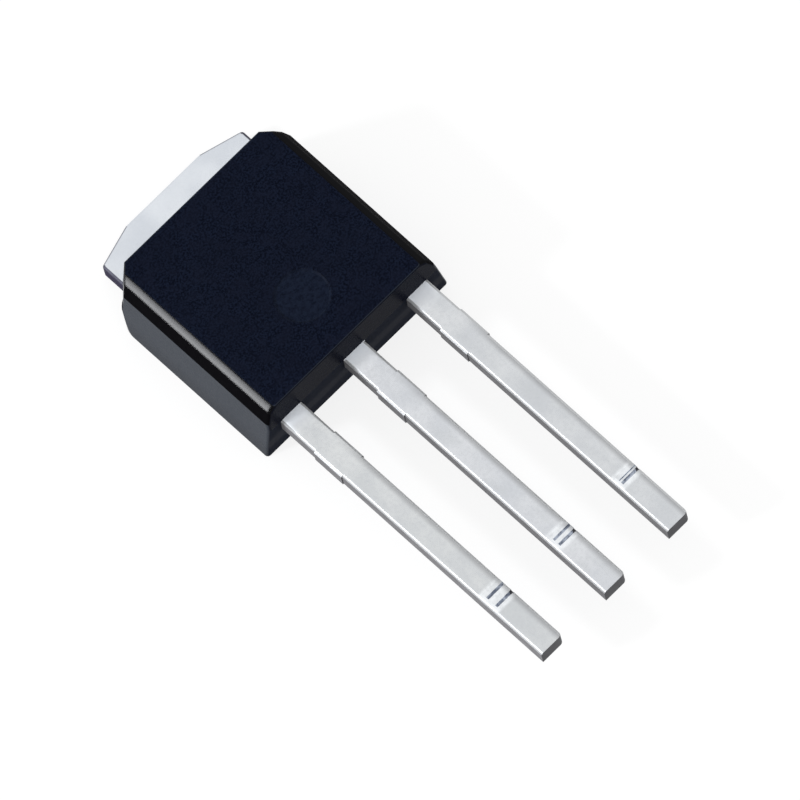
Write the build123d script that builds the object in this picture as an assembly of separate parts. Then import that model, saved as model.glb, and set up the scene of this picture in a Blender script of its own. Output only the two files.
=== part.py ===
from build123d import *
from math import atan2, degrees, hypot, radians, tan
import os

os.makedirs("parts", exist_ok=True)

# Power transistor in a flat moulded package with an exposed metal tab and three straight leads.
# Millimetres. X runs across the leads, Y from the lead tips towards the tab, Z out of the front.
# The origin is the middle of the back face, which lies on Z = 0.

# --- driving dimensions: lead frame, stamped from one sheet ---
sheet = 0.51               # thickness of the lead frame
lead_pitch = 2.286
lead_width = 0.76
lead_length = 9.45         # from the package wall to the tip
lead_height = 0.99         # underside of the leads above the back face
edge_roll = 0.08           # radius that stamping leaves on the upper long edges
tip_round = 0.13           # rounded outer corner of each cut tip
dam_start = 1.22           # package wall to the stub of the trimmed tie bar
dam_width = 1.00
dam_proud = 0.03           # how far each stub stands out of the lead's side
score_setback = 1.85       # lead tip to the outer score line
score_gaps = (0.32, 0.19, 0.08)  # outer to inner score line on the left, middle and right lead
score_inset = 0.16         # the score lines start this far inside the lead's left edge
score_width = 0.22
score_depth = 0.06
nick = 0.18                # bite at the right-hand end of the outer score line

tab_width = 5.12
tab_reach = 1.10           # tab beyond the package wall
tab_nose = 2.67            # straight part of the tab's outer edge
tab_slope = 0.35           # how far the outer edge falls back at the tab's corners
tab_round = 0.10
lock_width = 0.25          # undercut along the heat spreader's sides inside the package
lock_height = 0.20
joggle_run = 0.62          # length over which the middle lead steps down to the spreader
bend_radius = 0.32         # at the middle of the sheet
root_cover = 0.02          # straight stretch of the middle lead inside the wall

post_inset = 0.28          # package wall to the wire posts of the outer leads
post_length = 0.86
post_gap = 0.62            # between the middle lead and each wire post
post_round = 0.12

# --- driving dimensions: chip and bond wires ---
die_width = 2.50
die_length = 2.90
die_thickness = 0.25
die_setback = 0.80         # heat spreader's inner edge to the chip
solder_margin = 0.12
solder_thickness = 0.05
source_wire = 0.30
gate_wire = 0.15
bond_spread = 0.25         # bonds off the chip's middle, as a share of its width and length
loop_rise = 0.50           # top of the wire loops above the wire posts
loop_lean = 0.30           # where a loop peaks, as a share of its run from the post
loop_bend = 0.65           # bend radius of a wire, as a share of its thickness
source_foot = 0.50         # flattened length of each bond
gate_foot = 0.30
foot_sink = 0.25           # share of the wire's thickness pressed flat at a bond

# --- driving dimensions: moulded package ---
body_length = 6.05         # between the parting edges of the two end walls
side_wall = 0.405          # plastic beside the outer leads, level with their upper face
front_cover = 0.30         # plastic over the wire loops
draft = 8.0                # mould slope above the parting line, degrees
lower_draft = 3.0          # mould slope of the end walls below it
shoulder_width = 0.165     # steep facet along each long front edge
shoulder_drop = 0.40
bevel_width = 0.21         # flatter facet above the shoulder
bevel_drop = 0.15
corner_cut = 0.42          # chamfered corners on the tab side
foot_setback = 0.39        # beside the tab, the lower half ends this far short of the tab-side wall
foot_round = 0.68          # its rounded corners beside the tab
upright_round = 0.10       # upright corners of the lead-side wall
rim_round = 0.05           # rim of the front face
pin_mark = 1.50            # round dimple of the ejector pin
pin_mark_depth = 0.04
pin_mark_wall = 0.05       # width of its sloped wall
pin_mark_setback = 1.75    # package wall to the dimple's middle

# --- levels and edges that follow from them ---
lead_top = lead_height + sheet
die_top = sheet + solder_thickness + die_thickness
body_height = lead_top + loop_rise + front_cover
lead_wall = -body_length / 2
tab_wall = body_length / 2
lead_tip = lead_wall - lead_length
foot_end = tab_wall - foot_setback
joggle_angle = degrees(atan2(lead_height, joggle_run))
bend_tangent = bend_radius * tan(radians(joggle_angle) / 2)
joggle_top = lead_wall + root_cover + bend_tangent
spreader_edge = joggle_top + joggle_run
slope = tan(radians(draft))
lower_slope = tan(radians(lower_draft))


def side_x(z):
    """Half width of the package at height z, below the shoulder."""
    return lead_pitch + lead_width / 2 + side_wall + (lead_top - z) * slope


def tab_wall_y(z):
    """The tab-side wall at height z, above the parting line."""
    return tab_wall - (z - sheet) * slope


def block(x0, x1, y0, y1, z0, z1):
    """A plain box between two corners."""
    middle = ((x0 + x1) / 2, (y0 + y1) / 2, (z0 + z1) / 2)
    return Pos(*middle) * Box(x1 - x0, y1 - y0, z1 - z0)


def bar(x, width, y0, y1):
    """A stretch of lead from y0 to y1, with the stamped rounding on its two upper edges."""
    section = Pos(x, lead_height + sheet / 2) * Rectangle(width, sheet)
    section = fillet(section.vertices().group_by(Axis.Y)[-1], edge_roll)
    return extrude(Plane.XZ.offset(-y0) * section, y0 - y1)


def outer_lead(x, score_gap, inner_end):
    """A straight lead from its cut tip to inner_end, with tie-bar stubs and score lines."""
    left = x - lead_width / 2 + score_inset
    right = x + lead_width / 2
    plan = Pos(x, (lead_tip + inner_end) / 2) * Rectangle(lead_width, inner_end - lead_tip)
    plan = fillet(plan.vertices().group_by(Axis.Y)[0].sort_by(Axis.X)[-1], tip_round)
    lead = bar(x, lead_width, lead_tip, inner_end) & extrude(plan, lead_top)
    dam_end = lead_wall - dam_start
    lead += bar(x, lead_width + 2 * dam_proud, dam_end - dam_width, dam_end)
    outer_score = lead_tip + score_setback
    groove = Polygon((-score_width / 2, 0), (0, -score_depth), (score_width / 2, 0), align=None)
    for y in (outer_score, outer_score + score_gap):
        section = Plane((left, y, lead_top), x_dir=(0, 1, 0), z_dir=(1, 0, 0)) * groove
        lead -= extrude(section, lead_width)
    bite_y = outer_score - score_width / 4
    bite = Pos(right, bite_y, lead_top) * Rot(Y=45) * Box(nick, score_width / 2, nick)
    return lead - bite


def wire_lead(side, score_gap):
    """The gate or source lead with its wire post inside the package."""
    post_near = lead_wall + post_inset
    post_far = post_near + post_length
    inner = side * (lead_width / 2 + post_gap)
    outer = side * (lead_pitch + lead_width / 2)
    post = block(min(inner, outer), max(inner, outer), post_near, post_far, lead_height, lead_top)
    post = fillet(post.edges().filter_by(Axis.Z), post_round)
    return outer_lead(side * lead_pitch, score_gap, post_near + post_round) + post


def drain_frame():
    """Heat spreader, exposed tab and middle lead, one piece of metal."""
    nose = tab_wall + tab_reach
    outline = Polyline(
        (-tab_width / 2, spreader_edge),
        (tab_width / 2, spreader_edge),
        (tab_width / 2, nose - tab_slope),
        (tab_nose / 2, nose),
        (-tab_nose / 2, nose),
        (-tab_width / 2, nose - tab_slope),
        close=True,
    )
    plate = extrude(make_face(outline), sheet)
    shoulders = plate.edges().filter_by(Axis.Z).filter_by(lambda e: e.center().Y > tab_wall)
    outer_corners = shoulders.group_by(Axis.Y)[0]
    plate = fillet(outer_corners, tab_round)
    plate = fillet(plate.edges().group_by(Axis.Z)[-1], edge_roll)
    for side in (-1, 1):
        edge = side * tab_width / 2
        lip = side * (tab_width / 2 - lock_width)
        plate -= block(min(edge, lip), max(edge, lip), spreader_edge, foot_end, 0, lock_height)
    middle = sheet / 2
    raised = lead_height + middle
    path = FilletPolyline(
        (0, spreader_edge + 2 * bend_tangent, middle),
        (0, spreader_edge, middle),
        (0, joggle_top, raised),
        (0, lead_wall - root_cover, raised),
        radius=bend_radius,
    )
    start = Plane(path @ 0, x_dir=(1, 0, 0), z_dir=path % 0)
    joggle = sweep(start * Rectangle(lead_width, sheet), path)
    return plate + joggle + outer_lead(0, score_gaps[1], lead_wall)


def bond_wire(start, end, diameter, foot):
    """A looped wire with flattened feet, from a wire post down to the chip."""
    run = hypot(end[0] - start[0], end[1] - start[1])
    across = ((end[0] - start[0]) / run, (end[1] - start[1]) / run)
    height = diameter * (0.5 - foot_sink)
    peak = lead_top + loop_rise - diameter / 2

    def point(along, z):
        return (start[0] + across[0] * along, start[1] + across[1] * along, z)

    path = FilletPolyline(
        point(-foot / 2, start[2] + height),
        point(foot / 2, start[2] + height),
        point(run * loop_lean, peak),
        point(run - foot / 2, end[2] + height),
        point(run + foot / 2, end[2] + height),
        radius=diameter * loop_bend,
    )
    plane = Plane(path @ 0, z_dir=path % 0)
    return sweep(plane * Circle(diameter / 2), path)


def package_form():
    """The moulded package as a solid form, before the metal is taken out of it."""
    shoulder_z = body_height - bevel_drop - shoulder_drop
    bevel_z = body_height - bevel_drop
    bevel_x = side_x(shoulder_z) - shoulder_width
    half = [
        (side_x(0), 0),
        (side_x(shoulder_z), shoulder_z),
        (bevel_x, bevel_z),
        (bevel_x - bevel_width, body_height),
    ]
    mirrored = [(-x, z) for x, z in reversed(half)]
    across = extrude(Plane.XZ * make_face(Polyline(*half, *mirrored, close=True)), body_length, both=True)
    along_outline = Polyline(
        (lead_wall + lead_top * lower_slope, 0),
        (lead_wall, lead_top),
        (lead_wall + (body_height - lead_top) * slope, body_height),
        (tab_wall_y(body_height), body_height),
        (tab_wall, sheet),
        (tab_wall, 0),
        close=True,
    )
    along = extrude(Plane.YZ * make_face(along_outline), side_x(0), both=True)
    form = across & along

    chamfered = form
    for side in (-1, 1):
        outward = Vector(side, 1, 0).normalized()
        chamfer = Vector(side * (bevel_x - corner_cut), tab_wall_y(bevel_z), bevel_z)
        chamfered = split(chamfered, Plane(chamfer, z_dir=outward + Vector(0, 0, slope)), Keep.BOTTOM)
    upper = split(chamfered, Plane.XY.offset(lead_height), Keep.TOP)
    over_tab = block(-tab_width / 2, tab_width / 2, spreader_edge, tab_wall, sheet, lead_height)
    foot_plan = Pos(0, foot_end - body_length / 2) * Rectangle(2 * side_x(0), body_length)
    foot_plan = fillet(foot_plan.vertices().group_by(Axis.Y)[-1], foot_round)
    form = upper + (chamfered & over_tab) + (form & extrude(foot_plan, lead_height))
    steep = form.edges().filter_by(Plane.XY, reverse=True)
    uprights = steep.filter_by(lambda e: e.center().Y < spreader_edge)
    form = fillet(uprights, upright_round)
    form = fillet(form.edges().group_by(Axis.Z)[-1], rim_round)
    floor_radius = pin_mark / 2 - pin_mark_wall
    cone = Cone(floor_radius, floor_radius + 2 * pin_mark_wall, 2 * pin_mark_depth)
    return form - Pos(0, lead_wall + pin_mark_setback, body_height) * cone


drain = drain_frame()
gate = wire_lead(-1, score_gaps[0])
source = wire_lead(1, score_gaps[2])

die_y = spreader_edge + die_setback + die_length / 2
solder_size = (die_width + 2 * solder_margin, die_length + 2 * solder_margin)
solder = Pos(0, die_y, sheet + solder_thickness / 2) * Box(*solder_size, solder_thickness)
die = Pos(0, die_y, die_top - die_thickness / 2) * Box(die_width, die_length, die_thickness)

post_y = lead_wall + post_inset + post_length / 2
post_x = (lead_width / 2 + post_gap + lead_pitch + lead_width / 2) / 2
bond_x = die_width * bond_spread
source_pad = (bond_x, die_y, die_top)
gate_pad = (-bond_x, die_y - die_length * bond_spread, die_top)
source_loop = bond_wire((post_x, post_y, lead_top), source_pad, source_wire, source_foot) - source - die
gate_loop = bond_wire((-post_x, post_y, lead_top), gate_pad, gate_wire, gate_foot) - gate - die

inside = [drain, gate, source, solder, die, source_loop, gate_loop]
package = package_form() - inside

nodes = {
    "moulded_package": package,
    "drain_frame": drain,
    "gate_lead": gate,
    "source_lead": source,
    "die_attach_solder": solder,
    "silicon_die": die,
    "source_bond_wire": source_loop,
    "gate_bond_wire": gate_loop,
}
for name, shape in nodes.items():
    export_step(shape, f"parts/{name}.step")
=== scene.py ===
import math

import bpy
from mathutils import Matrix, Vector


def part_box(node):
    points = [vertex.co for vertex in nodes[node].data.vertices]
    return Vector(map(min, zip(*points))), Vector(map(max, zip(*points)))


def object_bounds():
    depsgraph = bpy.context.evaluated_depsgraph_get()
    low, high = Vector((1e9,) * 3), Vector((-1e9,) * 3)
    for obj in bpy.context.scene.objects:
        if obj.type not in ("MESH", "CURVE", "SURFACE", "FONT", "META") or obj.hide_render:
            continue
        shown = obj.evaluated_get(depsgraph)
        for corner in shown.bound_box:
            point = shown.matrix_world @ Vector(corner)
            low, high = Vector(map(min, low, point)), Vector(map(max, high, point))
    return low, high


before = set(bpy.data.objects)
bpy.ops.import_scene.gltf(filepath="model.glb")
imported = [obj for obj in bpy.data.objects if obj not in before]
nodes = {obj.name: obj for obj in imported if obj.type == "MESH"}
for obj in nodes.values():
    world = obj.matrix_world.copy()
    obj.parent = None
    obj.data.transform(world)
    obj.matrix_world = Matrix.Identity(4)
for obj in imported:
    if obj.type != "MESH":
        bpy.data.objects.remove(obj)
cad_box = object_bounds()
low, high = cad_box
package_low, package_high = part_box("moulded_package")
gate_low, gate_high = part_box("gate_lead")
source_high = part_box("source_lead")[1]

MM = 0.001
WHITE = (1.0, 1.0, 1.0)

LEAD_HALF_WIDTH = 0.38 * MM
STUB_HALF_WIDTH = 0.41 * MM     # half a lead's width across the stubs of its tie bars
MARK_FROM_WALL = 1.75 * MM      # from the wall that the leads come out of to the middle of the round mark
MARK_RADIUS = 0.80 * MM

# Colours are linear. Those of the moulding, by where they are, with painted light on its sides:
RESIN = {
    "front_dark": (0.0006, 0.0016, 0.0064),
    "front_pale": (0.0054, 0.0088, 0.0212),
    "front_mottle": (0.0056, 0.0078, 0.0180),
    "front_cloud": (0.0030, 0.0044, 0.0110),
    "side_reflection_dark": (0.0245, 0.0305, 0.0420),
    "side_reflection_pale": (0.0315, 0.0380, 0.0495),
    "side_reflection_foot": (0.0130, 0.0150, 0.0215),
    "steep": (0.0024, 0.0034, 0.0092),
    "below": (0.0090, 0.0118, 0.0205),
    "below_reflection_band": (0.0270, 0.0290, 0.0370),
    "shoulder": (0.0012, 0.0010, 0.0018),
    "bevel": (0.0025, 0.0025, 0.0035),
    "dimple": (0.0092, 0.0142, 0.0290),
    "sharp_edges": (0.036, 0.038, 0.042),
}
# And those of the tin plating, of which each lead scales the bright, dull and sheared ones:
TIN = {
    "bright": (0.705, 0.722, 0.728),
    "dull": (0.615, 0.636, 0.650),
    "smear": (0.56, 0.58, 0.60),
    "grain": (0.50, 0.515, 0.54),
    "root": (0.93, 0.96, 1.0),
    "right_edge_shade": (0.31, 0.315, 0.325),
    "rounded": (0.570, 0.580, 0.590),
    "sheared_dark": (0.155, 0.153, 0.159),
    "sheared_pale": (0.240, 0.238, 0.250),
    "cut_dark": (0.078, 0.078, 0.083),
    "cut_pale": (0.172, 0.172, 0.180),
    "groove_shade_dark": (0.13, 0.15, 0.20),
    "groove_shade_pale": (0.42, 0.46, 0.54),
    "pressed": (0.88, 0.905, 0.93),
    "nick": (0.03, 0.03, 0.04),
    "tab_bright": (0.73, 0.765, 0.81),
    "tab_dull": (0.65, 0.685, 0.735),
    "tab_rounded_shade": (0.10, 0.10, 0.13),
    "tab_sheared_shade": (0.046, 0.042, 0.068),
}


# ---------------------------------------------------------------- node helpers
# A Mix node's input for the first of its two values, and its output, by what it mixes.
MIX_SOCKETS = {"RGBA": (6, 2), "VECTOR": (4, 1)}


class Shader:
    """The node tree of a material or of the world, built call by call."""

    def __init__(self, owner, output="ShaderNodeOutputMaterial"):
        owner.use_nodes = True
        self.owner = owner
        self.output = output
        self.tree = owner.node_tree
        self.tree.nodes.clear()

    def node(self, kind, settings=None, **inputs):
        """A new node with its settings, and with inputs by name, where _ stands for a space."""
        made = self.tree.nodes.new(kind)
        for key, value in (settings or {}).items():
            setattr(made, key, value)
        for key, value in inputs.items():
            self.put(made, key.replace("_", " "), value)
        return made

    def put(self, node, key, value):
        """Links an input to value where that is another node's output, and sets it otherwise."""
        socket = node.inputs[key]
        if isinstance(value, bpy.types.NodeSocket):
            self.tree.links.new(value, socket)
        elif socket.type == "RGBA":
            socket.default_value = (*value, 1.0)
        else:
            socket.default_value = value

    def math(self, operation, a, b=0.0, clamp=False):
        made = self.node("ShaderNodeMath", {"operation": operation, "use_clamp": clamp})
        self.put(made, 0, a)
        self.put(made, 1, b)
        return made.outputs[0]

    def plus(self, a, b):
        """a + b, held between 0 and 1."""
        return self.math("ADD", a, b, clamp=True)

    def less(self, a, b):
        """a - b, held between 0 and 1."""
        return self.math("SUBTRACT", a, b, clamp=True)

    def times(self, first, *others):
        for other in others:
            first = self.math("MULTIPLY", first, other)
        return first

    def ramp(self, value, low, high, to_low=0.0, to_high=1.0, smooth=True):
        """From to_low to to_high as value goes from low to high, and level beyond them."""
        made = self.node("ShaderNodeMapRange", {"interpolation_type": "SMOOTHSTEP" if smooth else "LINEAR"})
        for key, number in (("From Min", low), ("From Max", high), ("To Min", to_low), ("To Max", to_high)):
            self.put(made, key, number)
        self.put(made, "Value", value)
        return made.outputs["Result"]

    def choose(self, factor, at_zero, at_one):
        """One number where the factor is 0, another where it is 1."""
        return self.ramp(factor, 0.0, 1.0, at_zero, at_one, smooth=False)

    def band(self, value, start, full, fade, end):
        """1 from full to fade, and 0 before start and past end."""
        return self.times(self.ramp(value, start, full), self.ramp(value, end, fade))

    def mix(self, factor, a, b, kind="RGBA"):
        """a where the factor is 0, b where it is 1."""
        made = self.node("ShaderNodeMix", {"data_type": kind})
        first, result = MIX_SOCKETS[kind]
        self.put(made, 0, factor)
        self.put(made, first, a)
        self.put(made, first + 1, b)
        return made.outputs[result]

    def place(self):
        """The point in the object's own coordinates."""
        return self.node("ShaderNodeTexCoord").outputs["Object"]

    def facing(self):
        """The components of the surface's normal in the object's own coordinates."""
        return self.split(self.node("ShaderNodeTexCoord").outputs["Normal"])

    def split(self, vector):
        return self.node("ShaderNodeSeparateXYZ", Vector=vector).outputs

    def stretched(self, place, scale):
        """Coordinates scaled along Y, so that a pattern comes out longer that way."""
        return self.node("ShaderNodeMapping", Vector=place, Scale=(1.0, scale, 1.0)).outputs["Vector"]

    def noise(self, place, size, detail=2.0, roughness=0.5):
        """Noise whose lumps are about size metres across."""
        made = self.node("ShaderNodeTexNoise", Vector=place, Scale=1.0 / size,
                         Detail=detail, Roughness=roughness)
        return made.outputs["Fac"]

    def bump(self, height, distance, strength, **normal):
        made = self.node("ShaderNodeBump", Height=height, Distance=distance, Strength=strength, **normal)
        return made.outputs["Normal"]

    def soft_normal(self, radius):
        """The normal that the surface would have with its edges rounded off."""
        return self.node("ShaderNodeBevel", {"samples": 6}, Radius=radius).outputs["Normal"]

    def sharp_edges(self, soft_normal):
        """1 along sharp edges, where the softened normal leaves the true one, and 0 on flat ground."""
        turn = self.node("ShaderNodeVectorMath", {"operation": "DOT_PRODUCT"})
        self.put(turn, 0, soft_normal)
        self.put(turn, 1, self.node("ShaderNodeNewGeometry").outputs["Normal"])
        return self.ramp(turn.outputs["Value"], 0.995, 0.86)

    def shown(self):
        """1 for the rays that see a background: from the camera, off gloss and through glass."""
        path = self.node("ShaderNodeLightPath")
        mirrored = self.math("ADD", path.outputs["Is Glossy Ray"], path.outputs["Is Transmission Ray"])
        return self.plus(path.outputs["Is Camera Ray"], mirrored)

    def mix_shaders(self, factor, a, b):
        both = self.node("ShaderNodeMixShader", Fac=factor)
        self.put(both, 1, a.outputs[0])
        self.put(both, 2, b.outputs[0])
        return both

    def finish(self, shader):
        self.node(self.output, Surface=shader.outputs[0])
        return self.owner


def new_material(name):
    return Shader(bpy.data.materials.new(name))


def scaled(colour, level, blue=0.0):
    """A colour times level, with blue added to its blue."""
    return (colour[0] * level, colour[1] * level, colour[2] * level + blue)


# ---------------------------------------------------------------- materials
def moulding():
    """Black filled epoxy with the fine spark-eroded texture of the mould."""
    s = new_material("moulding")
    place = s.place()
    x, y, z = s.split(place)
    facing_x, facing_y, facing_z = s.facing()

    # Which face this is, told by the way it faces. The end walls lean the other way below the
    # mould's parting plane.
    sideways = s.ramp(s.math("ABSOLUTE", facing_x), 0.20, 0.40)
    end = s.ramp(s.math("ABSOLUTE", facing_y), 0.45, 0.85)
    below = s.times(end, s.ramp(facing_z, 0.07, 0.02))
    shoulder = s.times(s.band(facing_z, 0.24, 0.34, 0.50, 0.62), sideways)
    bevel = s.times(s.band(facing_z, 0.50, 0.62, 0.93, 0.985), sideways)
    front = s.ramp(facing_z, 0.9, 0.985)

    # The round ejector-pin mark counts as front, and its sunk floor is the dimple.
    from_middle = s.math("SUBTRACT", y, package_low.y + MARK_FROM_WALL)
    squares = s.math("ADD", s.math("POWER", x, 2.0), s.math("POWER", from_middle, 2.0))
    near_mark = s.math("LESS_THAN", s.math("SQRT", squares), MARK_RADIUS)
    on_mark = s.times(near_mark, s.math("GREATER_THAN", facing_z, 0.3))
    dimple = s.times(on_mark, s.math("LESS_THAN", z, high.z - 0.006 * MM))
    front = s.math("MAXIMUM", front, on_mark)
    bevel = s.less(bevel, on_mark)

    grain = s.noise(place, 0.055 * MM, detail=3.0, roughness=0.62)
    pits = s.noise(place, 0.12 * MM)
    mottle = s.noise(place, 0.32 * MM)
    cloud = s.noise(place, 1.1 * MM, detail=3.0, roughness=0.55)
    soft_normal = s.soft_normal(0.025 * MM)
    sharp_edges = s.sharp_edges(soft_normal)

    ground = s.mix(s.ramp(grain, 0.40, 0.60), RESIN["front_dark"], RESIN["front_pale"])
    ground = s.mix(s.ramp(mottle, 0.42, 0.66, 0.0, 0.45), ground, RESIN["front_mottle"])
    ground = s.mix(s.ramp(cloud, 0.35, 0.7, 0.0, 0.30), ground, RESIN["front_cloud"])

    # Painted light: the side walls are paler as a painted reflection of the floor, less so towards the
    # bottom; the shoulders are darker as painted shade; the end walls below the parting plane are paler as a
    # painted reflection, most of all in a band low down.
    foot = s.ramp(z, low.z + 0.9 * MM, low.z + 0.1 * MM, 0.0, 0.45)
    below_reflection_band = s.band(z, low.z + 0.35 * MM, low.z + 0.6 * MM, low.z + 0.8 * MM, low.z + 1.05 * MM)
    sides = s.mix(cloud, RESIN["side_reflection_dark"], RESIN["side_reflection_pale"])
    sides = s.mix(foot, sides, RESIN["side_reflection_foot"])
    sides = s.mix(s.math("MAXIMUM", end, shoulder), sides, RESIN["steep"])
    sides = s.mix(below, sides, s.mix(below_reflection_band, RESIN["below"], RESIN["below_reflection_band"]))
    sides = s.mix(shoulder, sides, RESIN["shoulder"])
    sides = s.mix(bevel, sides, RESIN["bevel"])

    colour = s.mix(front, sides, ground)
    # The pin mark is paler, partly its own tone and partly painted light on its sloped wall, which faces
    # away from the lamp.
    colour = s.mix(s.times(dimple, s.ramp(pits, 0.35, 0.65, 0.15, 0.65)), colour, RESIN["dimple"])
    # Sharp edges are paler, partly from wear and partly as a painted highlight.
    colour = s.mix(s.times(sharp_edges, s.ramp(pits, 0.4, 0.7, 0.2, 0.7)), colour, RESIN["sharp_edges"])

    # The bevels are glossier than the rest, most of all towards their outer edge, and smooth.
    off_bevel = s.less(1.0, bevel)
    gloss = s.ramp(z, high.z - 0.10 * MM, high.z - 0.02 * MM, 0.16, 0.07, smooth=False)
    rough = s.choose(below, 0.28, 0.75)
    rough = s.plus(rough, s.choose(front, 0.0, 0.22))
    rough = s.plus(rough, s.times(shoulder, 0.56))
    rough = s.less(rough, s.times(bevel, gloss))
    rough = s.plus(rough, s.times(off_bevel, s.ramp(pits, 0.3, 0.7, -0.04, 0.05, smooth=False)))

    relief = s.times(s.choose(front, 1.0, 2.2), off_bevel)
    normal = s.mix(bevel, soft_normal, s.soft_normal(0.10 * MM), "VECTOR")
    normal = s.bump(s.times(grain, relief), 0.004 * MM, 0.55, Normal=normal)
    normal = s.bump(s.times(pits, relief), 0.006 * MM, 0.35, Normal=normal)
    return s.finish(s.node("ShaderNodeBsdfPrincipled", Base_Color=colour, Roughness=rough, Normal=normal,
                           IOR=1.55, Specular_IOR_Level=0.03))


def tinned(name, level, blue, middle_x, scored, wall=1.0):
    """Matte tin plating over rolled and stamped copper sheet.

    level is how pale the faces are and blue is added to their blue. middle_x is where the lead
    runs, scored the gap between its score lines, and wall how pale its sheared sides are."""
    s = new_material(name)
    place = s.place()
    x, y, z = s.split(place)
    facing_x, facing_y, facing_z = s.facing()

    from_tip = s.math("SUBTRACT", y, gate_low.y)
    off_middle = s.math("SUBTRACT", x, middle_x)
    outside = s.math("LESS_THAN", y, package_low.y)
    at_tab = s.math("GREATER_THAN", y, package_high.y - 0.6 * MM)
    upward = s.ramp(facing_z, 0.5, 0.9)
    upright = s.ramp(s.math("ABSOLUTE", facing_z), 0.50, 0.15)
    rounded = s.ramp(s.math("MINIMUM", s.math("ABSOLUTE", facing_x), facing_z), 0.06, 0.25)

    lines = s.noise(s.stretched(place, 0.06), 0.03 * MM, roughness=0.6)
    smear = s.noise(s.stretched(place, 0.35), 0.35 * MM)
    grain = s.noise(place, 0.09 * MM, detail=3.0, roughness=0.6)
    patchy = s.noise(place, 0.16 * MM, roughness=0.6)
    cloud = s.noise(place, 1.3 * MM)
    clouded = s.ramp(cloud, 0.32, 0.68)
    soft_normal = s.soft_normal(0.02 * MM)
    sharp_edges = s.sharp_edges(soft_normal)

    colour = s.mix(clouded, scaled(TIN["bright"], level, blue), scaled(TIN["dull"], level, blue))
    colour = s.mix(s.ramp(smear, 0.50, 0.72, 0.0, 0.50), colour, TIN["smear"])
    colour = s.mix(s.ramp(grain, 0.36, 0.70, 0.0, 0.30), colour, TIN["grain"])
    colour = s.mix(s.times(at_tab, 0.75), colour, s.mix(clouded, TIN["tab_bright"], TIN["tab_dull"]))

    # Beside the package the leads are more matt and painted paler, as a highlight, so that they don't mirror
    # its dark wall.
    by_wall = s.ramp(y, package_low.y - 0.75 * MM, package_low.y - 0.10 * MM)
    at_root = s.times(by_wall, s.times(outside, upward))
    colour = s.mix(s.times(at_root, 0.85), colour, TIN["root"])

    # Away from the package a lead's face is painted darker towards its right edge, as shade.
    right_edge_shade = s.ramp(off_middle, 0.14 * MM, 0.33 * MM, 0.0, 0.75)
    right_shade = s.times(s.ramp(from_tip, 8.4 * MM, 6.6 * MM), right_edge_shade)
    colour = s.mix(right_shade, colour, TIN["right_edge_shade"])
    # The rounded edges are darker, partly a duller finish and partly painted shade; on the tab they are
    # painted near-black, as shade.
    colour = s.mix(rounded, colour, s.mix(at_tab, TIN["rounded"], TIN["tab_rounded_shade"]))

    # The sheared sides are darker and duller than the faces, the cut tips and the ends of the stubs more so,
    # partly as their finish and partly as painted shade; the tab's sheared sides are painted near-black, as
    # shade.
    sheared = s.mix(s.ramp(lines, 0.3, 0.7),
                    scaled(TIN["sheared_dark"], wall), scaled(TIN["sheared_pale"], wall))
    colour = s.mix(upright, colour, s.mix(at_tab, sheared, TIN["tab_sheared_shade"]))
    tip, stub_end = s.ramp(facing_y, -0.5, -0.9), s.times(outside, s.ramp(facing_y, 0.4, 0.8))
    cut_end = s.times(upright, s.math("MAXIMUM", tip, stub_end))
    colour = s.mix(cut_end, colour, s.mix(grain, TIN["cut_dark"], TIN["cut_pale"]))

    # The score lines near the tips are painted blue-grey, as shade, on the wall that faces the package, and
    # the face is pale around and between them.
    groove = s.times(s.ramp(facing_y, 0.25, 0.45), s.ramp(facing_z, 0.4, 0.7), outside)
    colour = s.mix(groove, colour, s.mix(s.ramp(patchy, 0.35, 0.65), TIN["groove_shade_dark"], TIN["groove_shade_pale"]))
    pressed = s.band(from_tip, 1.57 * MM, 1.67 * MM, 1.96 * MM + scored, 2.08 * MM + scored)
    pressed = s.times(pressed, s.less(upward, rounded))
    pressed = s.times(pressed, s.less(1.0, s.math("MAXIMUM", groove, right_shade)))
    colour = s.mix(s.times(pressed, s.ramp(patchy, 0.3, 0.6, 0.40, 0.85)), colour, TIN["pressed"])

    # The nick in the right edge is painted dark inside, as shade.
    nick = s.times(s.math("GREATER_THAN", from_tip, 1.735 * MM), s.math("LESS_THAN", from_tip, 1.855 * MM))
    nick = s.times(nick, s.math("GREATER_THAN", z, gate_high.z - 0.14 * MM))
    nick = s.times(nick, s.ramp(facing_x, 0.2, 0.5))
    colour = s.mix(nick, colour, TIN["nick"])

    rough = s.ramp(cloud, 0.3, 0.7, 0.23, 0.34, smooth=False)
    rough = s.plus(rough, s.ramp(grain, 0.3, 0.7, -0.05, 0.05, smooth=False))
    rough = s.less(rough, s.times(sharp_edges, 0.08))
    rough = s.plus(rough, s.times(at_tab, 0.10))
    rough = s.plus(rough, s.times(upright, s.choose(at_tab, 0.50, 0.60)))
    rough = s.plus(rough, s.times(rounded, 0.26))
    rough = s.plus(rough, s.times(at_root, 0.45))

    # A bump lets a lead's faces fall away towards its sheared edges.
    to_edge = s.ramp(s.math("ABSOLUTE", off_middle), 0.20 * MM, LEAD_HALF_WIDTH, smooth=False)
    fall = s.times(s.math("POWER", s.times(outside, to_edge), 2.0), -1.0)
    relief = s.choose(at_tab, 1.0, 0.4)
    normal = s.bump(fall, 0.044 * MM, 1.0, Normal=soft_normal)
    normal = s.bump(s.times(grain, relief), 0.0016 * MM, 0.6, Normal=normal)
    normal = s.bump(s.times(lines, relief), 0.0012 * MM, 0.5, Normal=normal)
    # The sheared edge of the tab isn't metallic, and its near-black colour is painted shade.
    metallic = s.less(1.0, s.times(at_tab, upright))
    return s.finish(s.node("ShaderNodeBsdfPrincipled", Base_Color=colour, Roughness=rough, Normal=normal,
                           Metallic=metallic, Specular_IOR_Level=0.03))


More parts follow.
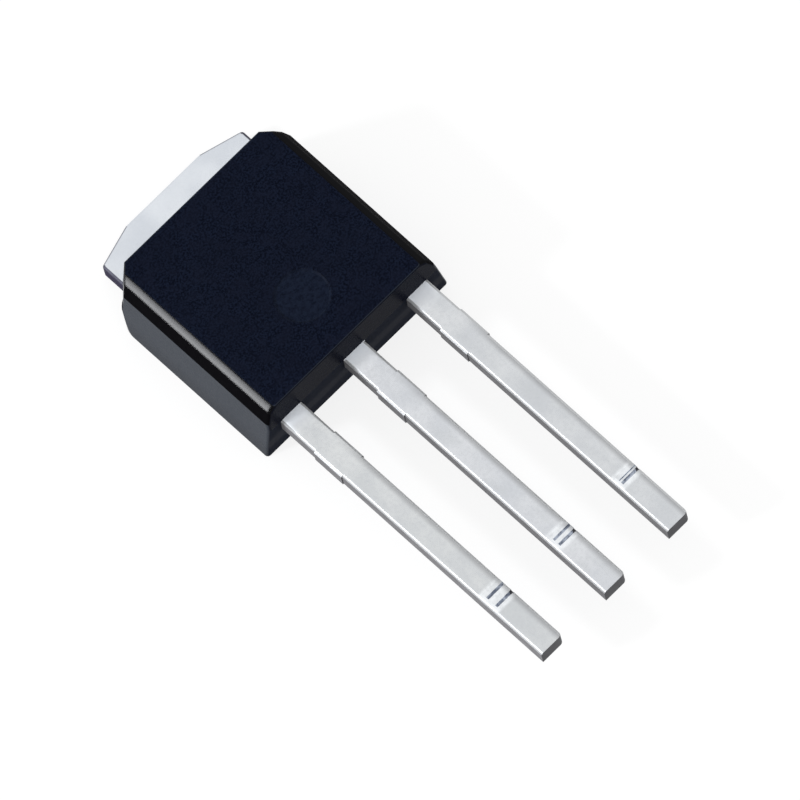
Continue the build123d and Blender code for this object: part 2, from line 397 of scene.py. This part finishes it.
def solder():
    s = new_material("solder")
    grain = s.noise(s.place(), 0.08 * MM, detail=3.0, roughness=0.6)
    colour = s.mix(grain, (0.42, 0.42, 0.43), (0.62, 0.62, 0.62))
    return s.finish(s.node("ShaderNodeBsdfPrincipled", Base_Color=colour, Metallic=1.0,
                           Roughness=s.ramp(grain, 0.3, 0.7, 0.35, 0.55),
                           Normal=s.bump(grain, 0.004 * MM, 0.6)))


def silicon():
    s = new_material("silicon")
    grain = s.noise(s.place(), 0.3 * MM)
    colour = s.mix(grain, (0.16, 0.17, 0.20), (0.24, 0.25, 0.28))
    return s.finish(s.node("ShaderNodeBsdfPrincipled", Base_Color=colour, Metallic=0.6,
                           Roughness=s.ramp(grain, 0.3, 0.7, 0.12, 0.22)))


def bond_wire():
    s = new_material("bond_wire")
    lines = s.noise(s.place(), 0.03 * MM)
    colour = s.mix(lines, (0.78, 0.78, 0.79), (0.86, 0.86, 0.87))
    return s.finish(s.node("ShaderNodeBsdfPrincipled", Base_Color=colour, Metallic=1.0,
                           Roughness=s.ramp(lines, 0.3, 0.7, 0.18, 0.32),
                           Normal=s.bump(lines, 0.001 * MM, 0.5)))


gate_x = gate_low.x + STUB_HALF_WIDTH
source_x = source_high.x - STUB_HALF_WIDTH
wire = bond_wire()
looks = {
    "moulded_package": moulding(),
    "drain_frame": tinned("tinned_frame", level=0.955, blue=0.02, middle_x=0.0, scored=0.19 * MM),
    # The gate lead's sheared sides are painted paler than the others', as painted light from the left.
    "gate_lead": tinned("tinned_gate", level=0.945, blue=0.0, middle_x=gate_x, scored=0.32 * MM, wall=1.30),
    "source_lead": tinned("tinned_source", level=0.930, blue=0.01, middle_x=source_x, scored=0.08 * MM),
    "die_attach_solder": solder(),
    "silicon_die": silicon(),
    "source_bond_wire": wire,
    "gate_bond_wire": wire,
}
for name, material in looks.items():
    nodes[name].data.materials.clear()
    nodes[name].data.materials.append(material)


# ---------------------------------------------------------------- stage
FLOOR_REACH = 0.45
FLOOR_CORNERS = ((-1, -1), (1, -1), (1, 1), (-1, 1))
floor_z = low.z - 0.02 * MM
lamps_aim = Vector((0.0, -1.0 * MM, 1.5 * MM))


def pale_floor():
    """Paper that takes the part's shadow, mixed mostly with a plain white where it is seen."""
    s = new_material("pale_floor")
    paper = s.node("ShaderNodeBsdfDiffuse", Color=(0.80, 0.80, 0.80))
    white = s.node("ShaderNodeEmission", Color=WHITE, Strength=1.10)
    return s.finish(s.mix_shaders(s.times(s.shown(), 0.74), paper, white))


def studio():
    """A white that is the backdrop where it is seen, and a little dimmer as a light."""
    s = Shader(bpy.data.worlds.new("studio"), "ShaderNodeOutputWorld")
    light = s.node("ShaderNodeBackground", Color=WHITE, Strength=0.82)
    backdrop = s.node("ShaderNodeBackground", Color=WHITE, Strength=1.0)
    return s.finish(s.mix_shaders(s.shown(), light, backdrop))


def softbox(name, direction, distance, width, height, radiance, colour=WHITE):
    """A rectangular lamp, seen from the part in that direction, that shines on it."""
    data = bpy.data.lights.new(name, "AREA")
    data.shape = "RECTANGLE"
    data.size = width
    data.size_y = height
    data.energy = radiance * math.pi * width * height
    data.color = colour
    lamp = bpy.data.objects.new(name, data)
    away = Vector(direction).normalized()
    lamp.location = lamps_aim + away * distance
    lamp.rotation_mode = "QUATERNION"
    lamp.rotation_quaternion = away.to_track_quat("Z", "Y")
    lamp.visible_camera = False
    bpy.context.scene.collection.objects.link(lamp)


floor_mesh = bpy.data.meshes.new("floor")
corners = [(x * FLOOR_REACH, y * FLOOR_REACH, floor_z) for x, y in FLOOR_CORNERS]
floor_mesh.from_pydata(corners, [], [(0, 1, 2, 3)])
floor_mesh.materials.append(pale_floor())
floor = bpy.data.objects.new("floor", floor_mesh)
bpy.context.scene.collection.objects.link(floor)

bpy.context.scene.world = studio()
softbox("overhead", direction=(0.193, 0.329, 0.924), distance=0.30, width=0.40, height=0.40, radiance=0.06)
softbox("left_strip", direction=(-0.81, 0.334, 0.482), distance=0.30, width=0.046, height=0.0272,
        radiance=118.0, colour=(0.985, 1.0, 1.035))


# ---------------------------------------------------------------- camera
SENSOR = 36.0       # in the camera's own millimetres, as its lens is
azimuth = math.radians(-29.961)
elevation = math.radians(67.317)
roll = math.radians(-16.239)
distance = 824.4 * MM
view_width = 20.4447 * MM
aim = Vector((-0.0834, -4.7209, 1.0927)) * MM

level_reach = math.cos(elevation)
back = Vector((math.sin(azimuth) * level_reach, -math.cos(azimuth) * level_reach, math.sin(elevation)))
right = Vector((math.cos(azimuth), math.sin(azimuth), 0.0))
up = back.cross(right)
across = right * math.cos(roll) + up * math.sin(roll)
upward = -right * math.sin(roll) + up * math.cos(roll)

camera_data = bpy.data.cameras.new("camera")
camera_data.sensor_width = SENSOR
camera_data.lens = SENSOR * distance / view_width
camera_data.clip_start = 0.05
camera_data.clip_end = 5.0
camera = bpy.data.objects.new("camera", camera_data)
camera.matrix_world = Matrix((
    (across.x, upward.x, back.x, aim.x + back.x * distance),
    (across.y, upward.y, back.y, aim.y + back.y * distance),
    (across.z, upward.z, back.z, aim.z + back.z * distance),
    (0.0, 0.0, 0.0, 1.0),
))
bpy.context.scene.collection.objects.link(camera)
bpy.context.scene.camera = camera
bpy.context.scene.view_settings.view_transform = "Standard"
